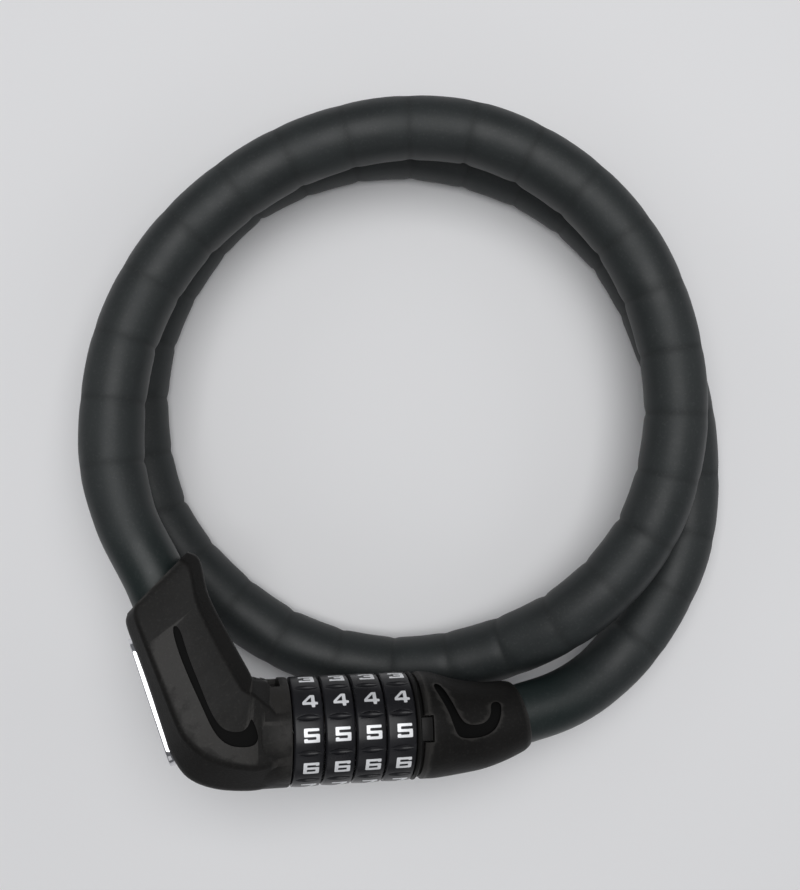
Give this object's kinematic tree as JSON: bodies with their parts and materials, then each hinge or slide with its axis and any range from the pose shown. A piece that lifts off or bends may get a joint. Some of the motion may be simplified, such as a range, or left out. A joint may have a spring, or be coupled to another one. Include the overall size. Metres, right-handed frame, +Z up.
{
  "type": "cable lock",
  "caption": "Coiled armoured cable lock: elbow housing, four number wheels on a slotted barrel and a pull-out plug with a toothed bolt",
  "frame": {"origin": "centre of the coil, on the plane the lowest turn rests on", "axes": "+Z up out of the coil's plane; +X along the plan of the barrel from the elbow housing to the plug; +Y from the barrel across the coil"},
  "size_m": [0.1547, 0.1617, 0.0495],
  "materials": {
    "housing": "fine-grained soft-touch black plastic",
    "index_black": "satin black plastic",
    "gloss_black": "polished black plastic",
    "bright_trim": "bright plated",
    "sheath": "smooth satin dark grey PVC",
    "zinc": "die-cast, as cast",
    "brass": "machined",
    "spring_steel": "polished strip",
    "screw_steel": "zinc plated",
    "bolt_steel": "hardened and ground",
    "rope_steel": "laid wire",
    "armour_steel": "hardened, dark"
  },
  "bodies": {
    "lock_body": {"elbow_cover_front": "housing", "elbow_cover_rear": "housing", "elbow_screws": "screw_steel", "badge_bezel": "bright_trim", "badge_plate": "gloss_black", "barrel_sleeve": "zinc", "detent_leaf": "spring_steel", "wave_washer": "spring_steel", "thrust_washer": "brass", "index_ring": "index_black", "retaining_ring": "spring_steel", "elbow_ferrule": "bolt_steel", "steel_rope": "rope_steel", "armour_shells": "armour_steel", "cable_sheath": "sheath"},
    "wheel_1": {"number_wheel_1": "gloss_black", "code_ring_1": "brass"},
    "wheel_2": {"number_wheel_2": "gloss_black", "code_ring_2": "brass"},
    "wheel_3": {"number_wheel_3": "gloss_black", "code_ring_3": "brass"},
    "wheel_4": {"number_wheel_4": "gloss_black", "code_ring_4": "brass"},
    "reset_slider": {"code_slider": "index_black"},
    "plug": {"locking_bolt": "bolt_steel", "bolt_pin": "spring_steel", "plug_insert": "zinc", "plug_cover_front": "housing", "plug_cover_rear": "housing", "plug_screws": "screw_steel", "plug_ferrule": "bolt_steel"}
  },
  "joints": [
    {"name": "wheel_1_spin", "type": "hinge", "parent": "lock_body", "child": "wheel_1", "pos_m": [-0.0122, -0.0798, 0.0298], "axis": [0.9763, 0, -0.2164], "continuous": true},
    {"name": "wheel_2_spin", "type": "hinge", "parent": "lock_body", "child": "wheel_2", "pos_m": [-0.0122, -0.0798, 0.0298], "axis": [0.9763, 0, -0.2164], "continuous": true},
    {"name": "wheel_3_spin", "type": "hinge", "parent": "lock_body", "child": "wheel_3", "pos_m": [-0.0122, -0.0798, 0.0298], "axis": [0.9763, 0, -0.2164], "continuous": true},
    {"name": "wheel_4_spin", "type": "hinge", "parent": "lock_body", "child": "wheel_4", "pos_m": [-0.0122, -0.0798, 0.0298], "axis": [0.9763, 0, -0.2164], "continuous": true},
    {"name": "slider_shift", "type": "slide", "parent": "lock_body", "child": "reset_slider", "axis": [0.9763, 0, -0.2164], "range_m": [0, 0.0025]},
    {"name": "plug_pull", "type": "slide", "parent": "lock_body", "child": "plug", "axis": [0.9763, 0, -0.2164], "range_m": [0, 0.03], "deforming": ["cable_sheath", "armour_shells", "steel_rope"]}
  ]
}
